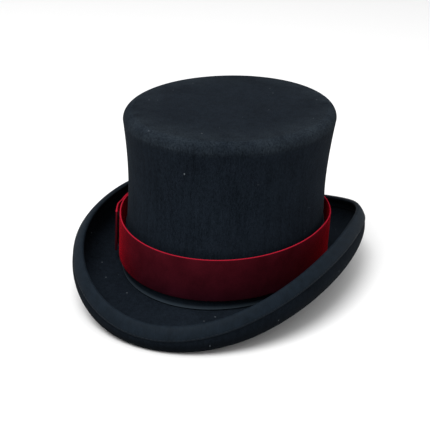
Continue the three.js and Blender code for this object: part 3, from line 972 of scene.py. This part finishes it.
def ribbon_along(name, place, path, middle, half, thick=0.28 * MM, upright=False):
    """A narrow ribbon whose middle line follows path, (u, lift) points, with its height at middle and
    half its width given at each point. upright swaps u and v, for a ribbon that wraps downwards."""
    t = np.linspace(0, len(path) - 1, 8 * (len(path) - 1) + 1)
    knots = np.array(path, float)
    along_path = (knots[:, 0], knots[:, 1], middle, half)
    line_u, line_lift, centre, wide = (catmull_rom(np.asarray(k, float), t) for k in along_path)
    line = np.stack([line_u, line_lift], 1)
    along = np.gradient(line, axis=0)
    normal = np.stack([-along[:, 1], along[:, 0]], 1)
    normal /= np.linalg.norm(normal, axis=1, keepdims=True)
    section = [(-1, 0.5), (-0.5, 0.62), (0, 0.66), (0.5, 0.62), (1, 0.5)]
    section += [(1, -0.5), (0.5, -0.38), (0, -0.34), (-0.5, -0.38), (-1, -0.5)]
    a, b = outline_array(section)
    u = line[:, :1] + normal[:, :1] * b * thick
    lift = line[:, 1:] + normal[:, 1:] * b * thick
    v = centre[:, None] + a * wide[:, None]
    return grid(name, place(v, u, lift) if upright else place(u, v, lift))


def catmull_rom(values, t):
    """A smooth curve through values, read at t, where the values stand at 0, 1, 2 and so on."""
    index = np.clip(t.astype(int), 0, len(values) - 2)
    f = t - index
    padded = np.concatenate([[2 * values[0] - values[1]], values, [2 * values[-1] - values[-2]]])
    a, b, c, d = (padded[index + k] for k in range(4))
    return 0.5 * (2 * b + (c - a) * f + (2 * a - 5 * b + 4 * c - d) * f**2 + (3 * b - a - 3 * c + d) * f**3)


def make_bow():
    spot = inside_back(math.pi, SWEATBAND_TOP - 9 * MM)
    parts = []
    for side, word in ((-1, "left"), (1, "right")):
        loop = [(0.8, 0.4), (4, 0.32), (8, 0.3), (11.6, 0.4), (12.7, 1.0)]
        loop += [(11.6, 1.6), (7.5, 1.9), (3.5, 1.7), (0.8, 1.3)]
        path = [(side * u * MM, w * MM) for u, w in loop]
        half = [h * MM for h in (1.3, 2.2, 3.3, 3.9, 4.0, 3.9, 3.3, 2.2, 1.3)]
        parts.append(ribbon_along("bow_loop_" + word, spot, path, [0] * len(path), half))
        tail = [(side * u * MM, w * MM) for u, w in ((0.5, 0.75), (2.5, 0.55), (5.5, 0.4), (8.5, 0.6))]
        fall = [-d * MM for d in (0.6, 2.6, 5.2, 7.6)]
        half = [h * MM for h in (1.2, 1.7, 1.9, 2.0)]
        parts.append(ribbon_along("bow_tail_" + word, spot, tail, fall, half))
    wrap = [(-2.3, 0.25), (-2.6, 1.2), (-1.4, 2.35), (0, 2.6), (1.4, 2.35), (2.6, 1.2), (2.3, 0.25)]
    path = [(v * MM, w * MM) for v, w in wrap]
    count = len(path)
    knot = ribbon_along("bow_knot", spot, path, [0] * count, [1.7 * MM] * count, 0.4 * MM, upright=True)
    parts.append(knot)
    return parts


def make_label():
    """A blank woven label with its ends turned under."""
    spot = inside_back(math.radians(160), SWEATBAND_TOP - 19.5 * MM)
    width, height, turned = 22 * MM, 12 * MM, 2.4 * MM

    def relief(u, v):
        ends = 0.25 * MM * smooth_step((np.abs(u) - (width / 2 - turned)) / (0.3 * MM))
        return ends + 0.03 * MM * np.sin(v / (0.12 * MM))

    label = patch("woven_label", spot, width, height, 0.3 * MM, (88, 72), relief, 0.3 * MM)

    def place(number, along, aside, lift):
        side = np.where(number < 4, -1, 1)
        u = side * (width / 2 - 1.1 * MM) + aside
        v = ((number % 4) - 1.5) * 2.6 * MM + along
        return spot(u[:, None], v[:, None], (0.6 * MM + lift)[:, None])[:, 0]

    return label, stitches("label_stitches", place, 8, 1.9 * MM, 0.14 * MM, 0.1 * MM)


finish(make_sweatband(), "hat", leather, "sweatband_leather", "sweatband")
finish(make_reed(), "hat", plastic, "reed_plastic", "sweatband_reed")
sewing = sweatband_stitches("sweatband_sewing", 9.9 * MM, 3.6 * MM, 2.6 * MM)
top_row = sweatband_stitches("sweatband_top_stitches", SWEATBAND_TOP - 3 * MM, 3.2 * MM, 2.3 * MM)
for row in (sewing, top_row, seam_stitches()):
    finish(row, "hat", brown_thread, "sweatband_leather")
bow, *bow_parts = make_bow()
finish(bow, "hat", satin, "satin", "sweatband_bow")
for part in bow_parts:
    finish(part, "hat", satin, "satin")
label, label_thread = make_label()
finish(label, "hat", label_weave, "satin", "size_label")
finish(label_thread, "hat", dark_thread, "satin")


# -------- lining
def gathers(angle, level):
    """Soft upright folds of the side lining, held flat by the sweatband and drawn in at the tip seam."""
    wander = 1.9 * np.sin(5 * angle) + 0.5 * np.sin(level / (23 * MM) + 3 * angle)
    folds = 0.5 + 0.5 * np.sin(31 * angle + wander)
    uneven = 0.62 + 0.38 * np.sin(7 * angle + 2)
    free = smooth_step((level - 40 * MM) / (30 * MM)) * smooth_step((TIP[0] - level) / (14 * MM))
    return 1.3 * MM * folds**1.6 * uneven * free + 0.08 * MM * folds


def make_lining_side():
    shoulder, thick = TIP[0] - TIP_EDGE, 0.3 * MM
    near, far = LINING_OUTSIDE, LINING_OUTSIDE + thick
    outline = wall(near, LINING_LOWER_EDGE, shoulder, 46)
    outline += arc(TIP_EDGE, shoulder, TIP_EDGE - near, 0, 84, 8)[1:]
    outline += arc(TIP_EDGE, shoulder, TIP_EDGE - far, 84, 0, 8)
    outline += wall(far, shoulder, LINING_LOWER_EDGE, 46)[1:]
    inset, level = outline_array(outline)
    angle = turn_angles(600)
    points = in_crown(angle, inset + gathers(angle, level), level)
    return grid("side_lining", points, turns=True, size=(0.58, 0.24))


def make_lining_tip():
    sag, edge, thick = 1.1 * MM, TIP_EDGE + 0.2 * MM, 0.3 * MM
    across = np.linspace(0, 1, 34)
    inset = TIP[1] + (edge - TIP[1]) * across
    top = [(i, TIP[0] - LINING_OUTSIDE) for i in inset]
    bottom = [(i, TIP[0] - LINING_OUTSIDE - thick) for i in inset[::-1]]
    inset, level = outline_array(top + bottom)
    angle = turn_angles(360)
    share = np.clip((TIP[1] - inset) / (TIP[1] - edge), 0, 1)
    puckers = 0.22 * MM * np.sin(44 * angle + 2 * np.sin(6 * angle)) * share**6
    drop = sag * (1 - share**2) + 0.25 * MM * np.sin(2 * angle + 5 * share) * share * (1 - share)
    points = in_crown(angle, inset, level)
    points[..., 2] -= drop + puckers
    return grid("tip_lining", points, turns=True, loops=False, poles=True, size=(0.5, 0.2))


def make_lining_seam():
    """A twisted cord that covers the seam between the side lining and the tip."""
    radius, strands, twists, groove = 0.55 * MM, 3, 110, 0.16
    turned, angle = turn_angles(16).T, turn_angles(1500)
    twist = radius * (1 + groove * np.cos(strands * turned + twists * angle))
    inset = TIP_EDGE + twist * np.cos(turned)
    level = TIP[0] - LINING_OUTSIDE - 0.75 * MM + twist * np.sin(turned)
    return grid("lining_cord", in_crown(angle, inset, level), turns=True)


side_lining, tip_lining = make_lining_side(), make_lining_tip()
finish(side_lining, "hat", satin, "satin", "lining_side")
finish(tip_lining, "hat", satin, "satin", "lining_tip")
finish(make_lining_seam(), "hat", satin, "satin")
_, lining_round = even_angles(crown_line(TIP[0] - TIP_EDGE), TIP_EDGE)


# -------- camera, light and floor
TARGET = Vector((0, 0, 70 * MM)) + AXIS  # the middle of the crown
AZIMUTH, ELEVATION, ROLL = (math.radians(x) for x in (18.59, 20.38, 2.86))
DISTANCE = 1.0
LENS, SENSOR = 97.1, 36
AIM_LEFT, AIM_DOWN = 0.0107, 0.0175  # how far the view's middle lies beside the target, as tangents


def make_camera():
    level = math.cos(ELEVATION)
    back = Vector((math.sin(AZIMUTH) * level, -math.cos(AZIMUTH) * level, math.sin(ELEVATION)))
    right = Vector((0, 0, 1)).cross(back).normalized()
    up = back.cross(right)
    tilted_right = math.cos(ROLL) * right + math.sin(ROLL) * up
    tilted_up = -math.sin(ROLL) * right + math.cos(ROLL) * up
    aim = -back - tilted_right * AIM_LEFT - tilted_up * AIM_DOWN
    z = -aim.normalized()
    x = tilted_up.cross(z).normalized()
    y = z.cross(x)
    data = bpy.data.cameras.new("camera")
    data.sensor_width, data.lens = SENSOR, LENS
    camera = bpy.data.objects.new("camera", data)
    turned = Matrix((x, y, z)).transposed().to_4x4()
    camera.matrix_world = Matrix.Translation(TARGET + back * DISTANCE) @ turned
    bpy.context.scene.collection.objects.link(camera)
    bpy.context.scene.camera = camera


def make_light(name, place, size, power):
    data = bpy.data.lights.new(name, "AREA")
    data.shape, data.size, data.energy = "DISK", size, power
    light = bpy.data.objects.new(name, data)
    light.location = place
    light.rotation_euler = (TARGET - Vector(place)).to_track_quat("-Z", "Y").to_euler()
    bpy.context.scene.collection.objects.link(light)


def make_stage():
    half, level = 6, -0.3 * MM  # just under the hat's flats, so that the two don't lie in one plane
    corners = [[(x, y, level) for y in (-half, half)] for x in (-half, half)]
    floor = grid("floor", np.array(corners), loops=False)
    n = Nodes("pale_floor")
    n.set(base_color=(0.82, 0.82, 0.82, 1), roughness=0.9)
    floor.data.materials.append(n.material)
    world = bpy.data.worlds.new("studio")
    world.use_nodes = True
    background = world.node_tree.nodes["Background"]
    background.inputs["Color"].default_value = (1, 1, 1, 1)
    background.inputs["Strength"].default_value = 0.8
    bpy.context.scene.world = world


make_camera()
make_stage()
make_light("key", (-0.15, -1.05, 1.65), 1.2, 33)
make_light("top", (0.1, 0.4, 2.0), 1.5, 8)
bpy.context.scene.view_settings.view_transform = "Standard"
